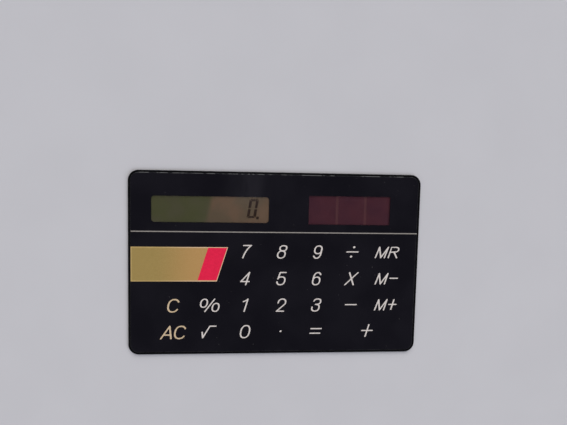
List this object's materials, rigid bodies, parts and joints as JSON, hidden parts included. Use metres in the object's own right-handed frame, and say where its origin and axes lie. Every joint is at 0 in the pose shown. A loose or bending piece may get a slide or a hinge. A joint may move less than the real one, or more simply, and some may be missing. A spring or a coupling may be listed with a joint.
{
  "type": "solar card calculator",
  "caption": "Thin rectangular card calculator with round corners, a glossy black face, a display window, a solar window and a flat membrane keypad.",
  "frame": {"origin": "middle of the back face, on the surface that the card lies on", "axes": "+X along the card's length, to the right of its face; +Y towards the display edge; +Z out of the face"},
  "size_m": [0.0856, 0.054, 0.0008],
  "materials": {
    "black_resin": "black moulded resin, polished",
    "steel_plate": "thin stainless sheet with a fine satin brushing",
    "adhesive": "thin acrylic adhesive",
    "circuit_film": "amber polyimide film",
    "carbon_ink": "printed carbon ink",
    "copper": "thin etched copper",
    "spacer_film": "milky polyester film",
    "black_ink": "opaque black ink",
    "gold_ink": "gold bronze ink, fine grained",
    "red_ink": "bright red ink",
    "white_ink": "warm white ink",
    "face_film": "clear polyester film with a gloss face",
    "display_reflector": "grey-green reflector behind a polariser",
    "display_film": "clear display film",
    "display_seal": "grey sealing resin",
    "polariser": "olive-grey polarising film",
    "connector_ribbon": "heat-seal ribbon",
    "solar_substrate": "dark brown carrier",
    "solar_cell": "amorphous silicon, dark red-brown",
    "tinned_foil": "tinned foil",
    "silicon": "silicon die",
    "gold": "gold contact bumps",
    "chip_resin": "black potting resin",
    "capacitor_body": "tan ceramic",
    "contact_pad": "printed carbon pad"
  },
  "bodies": {
    "card": {"frame": "black_resin", "back_plate": "steel_plate", "rear_adhesive": "adhesive", "film_adhesive": "adhesive", "circuit_film": "circuit_film", "row_conductors": "carbon_ink", "column_combs": "carbon_ink", "column_conductors": "copper", "power_conductors": "copper", "display_conductors": "copper", "conductor_plugs": "carbon_ink", "spacer_film": "spacer_film", "contact_film": "spacer_film", "face_mask": "black_ink", "badge_print": "gold_ink", "badge_flash": "red_ink", "divider_line": "white_ink", "face_film": "face_film", "display_rear_polariser": "display_reflector", "display_rear_substrate": "display_film", "display_seal": "display_seal", "display_crystal": "display_film", "display_front_substrate": "display_film", "display_front_polariser": "polariser", "display_connector": "connector_ribbon", "solar_substrate": "solar_substrate", "solar_cells": "solar_cell", "solar_bus_bars": "tinned_foil", "solar_leads": "tinned_foil", "processor_chip": "silicon", "chip_bumps": "gold", "chip_resin": "chip_resin", "component_bodies": "capacitor_body", "component_terminals": "tinned_foil"},
    "key_7": {"key_7": "contact_pad"},
    "key_8": {"key_8": "contact_pad"},
    "key_9": {"key_9": "contact_pad"},
    "key_divide": {"key_divide": "contact_pad"},
    "key_memory_recall": {"key_memory_recall": "contact_pad"},
    "key_4": {"key_4": "contact_pad"},
    "key_5": {"key_5": "contact_pad"},
    "key_6": {"key_6": "contact_pad"},
    "key_multiply": {"key_multiply": "contact_pad"},
    "key_memory_minus": {"key_memory_minus": "contact_pad"},
    "key_clear": {"key_clear": "contact_pad"},
    "key_percent": {"key_percent": "contact_pad"},
    "key_1": {"key_1": "contact_pad"},
    "key_2": {"key_2": "contact_pad"},
    "key_3": {"key_3": "contact_pad"},
    "key_minus": {"key_minus": "contact_pad"},
    "key_memory_plus": {"key_memory_plus": "contact_pad"},
    "key_all_clear": {"key_all_clear": "contact_pad"},
    "key_square_root": {"key_square_root": "contact_pad"},
    "key_0": {"key_0": "contact_pad"},
    "key_point": {"key_point": "contact_pad"},
    "key_equals": {"key_equals": "contact_pad"},
    "key_plus": {"key_plus": "contact_pad"}
  },
  "joints": [
    {"name": "key_7_press", "type": "slide", "parent": "card", "child": "key_7", "axis": [0, 0, -1], "range_m": [0, 0.000055], "stiffness_N_per_m": 8000, "deforming": ["contact_film", "face_mask", "face_film"]},
    {"name": "key_8_press", "type": "slide", "parent": "card", "child": "key_8", "axis": [0, 0, -1], "range_m": [0, 0.000055], "stiffness_N_per_m": 8000, "deforming": ["contact_film", "face_mask", "face_film"]},
    {"name": "key_9_press", "type": "slide", "parent": "card", "child": "key_9", "axis": [0, 0, -1], "range_m": [0, 0.000055], "stiffness_N_per_m": 8000, "deforming": ["contact_film", "face_mask", "face_film"]},
    {"name": "key_divide_press", "type": "slide", "parent": "card", "child": "key_divide", "axis": [0, 0, -1], "range_m": [0, 0.000055], "stiffness_N_per_m": 8000, "deforming": ["contact_film", "face_mask", "face_film"]},
    {"name": "key_memory_recall_press", "type": "slide", "parent": "card", "child": "key_memory_recall", "axis": [0, 0, -1], "range_m": [0, 0.000055], "stiffness_N_per_m": 8000, "deforming": ["contact_film", "face_mask", "face_film"]},
    {"name": "key_4_press", "type": "slide", "parent": "card", "child": "key_4", "axis": [0, 0, -1], "range_m": [0, 0.000055], "stiffness_N_per_m": 8000, "deforming": ["contact_film", "face_mask", "face_film"]},
    {"name": "key_5_press", "type": "slide", "parent": "card", "child": "key_5", "axis": [0, 0, -1], "range_m": [0, 0.000055], "stiffness_N_per_m": 8000, "deforming": ["contact_film", "face_mask", "face_film"]},
    {"name": "key_6_press", "type": "slide", "parent": "card", "child": "key_6", "axis": [0, 0, -1], "range_m": [0, 0.000055], "stiffness_N_per_m": 8000, "deforming": ["contact_film", "face_mask", "face_film"]},
    {"name": "key_multiply_press", "type": "slide", "parent": "card", "child": "key_multiply", "axis": [0, 0, -1], "range_m": [0, 0.000055], "stiffness_N_per_m": 8000, "deforming": ["contact_film", "face_mask", "face_film"]},
    {"name": "key_memory_minus_press", "type": "slide", "parent": "card", "child": "key_memory_minus", "axis": [0, 0, -1], "range_m": [0, 0.000055], "stiffness_N_per_m": 8000, "deforming": ["contact_film", "face_mask", "face_film"]},
    {"name": "key_clear_press", "type": "slide", "parent": "card", "child": "key_clear", "axis": [0, 0, -1], "range_m": [0, 0.000055], "stiffness_N_per_m": 8000, "deforming": ["contact_film", "face_mask", "face_film"]},
    {"name": "key_percent_press", "type": "slide", "parent": "card", "child": "key_percent", "axis": [0, 0, -1], "range_m": [0, 0.000055], "stiffness_N_per_m": 8000, "deforming": ["contact_film", "face_mask", "face_film"]},
    {"name": "key_1_press", "type": "slide", "parent": "card", "child": "key_1", "axis": [0, 0, -1], "range_m": [0, 0.000055], "stiffness_N_per_m": 8000, "deforming": ["contact_film", "face_mask", "face_film"]},
    {"name": "key_2_press", "type": "slide", "parent": "card", "child": "key_2", "axis": [0, 0, -1], "range_m": [0, 0.000055], "stiffness_N_per_m": 8000, "deforming": ["contact_film", "face_mask", "face_film"]},
    {"name": "key_3_press", "type": "slide", "parent": "card", "child": "key_3", "axis": [0, 0, -1], "range_m": [0, 0.000055], "stiffness_N_per_m": 8000, "deforming": ["contact_film", "face_mask", "face_film"]},
    {"name": "key_minus_press", "type": "slide", "parent": "card", "child": "key_minus", "axis": [0, 0, -1], "range_m": [0, 0.000055], "stiffness_N_per_m": 8000, "deforming": ["contact_film", "face_mask", "face_film"]},
    {"name": "key_memory_plus_press", "type": "slide", "parent": "card", "child": "key_memory_plus", "axis": [0, 0, -1], "range_m": [0, 0.000055], "stiffness_N_per_m": 8000, "deforming": ["contact_film", "face_mask", "face_film"]},
    {"name": "key_all_clear_press", "type": "slide", "parent": "card", "child": "key_all_clear", "axis": [0, 0, -1], "range_m": [0, 0.000055], "stiffness_N_per_m": 8000, "deforming": ["contact_film", "face_mask", "face_film"]},
    {"name": "key_square_root_press", "type": "slide", "parent": "card", "child": "key_square_root", "axis": [0, 0, -1], "range_m": [0, 0.000055], "stiffness_N_per_m": 8000, "deforming": ["contact_film", "face_mask", "face_film"]},
    {"name": "key_0_press", "type": "slide", "parent": "card", "child": "key_0", "axis": [0, 0, -1], "range_m": [0, 0.000055], "stiffness_N_per_m": 8000, "deforming": ["contact_film", "face_mask", "face_film"]},
    {"name": "key_point_press", "type": "slide", "parent": "card", "child": "key_point", "axis": [0, 0, -1], "range_m": [0, 0.000055], "stiffness_N_per_m": 8000, "deforming": ["contact_film", "face_mask", "face_film"]},
    {"name": "key_equals_press", "type": "slide", "parent": "card", "child": "key_equals", "axis": [0, 0, -1], "range_m": [0, 0.000055], "stiffness_N_per_m": 8000, "deforming": ["contact_film", "face_mask", "face_film"]},
    {"name": "key_plus_press", "type": "slide", "parent": "card", "child": "key_plus", "axis": [0, 0, -1], "range_m": [0, 0.000055], "stiffness_N_per_m": 8000, "deforming": ["contact_film", "face_mask", "face_film"]}
  ]
}
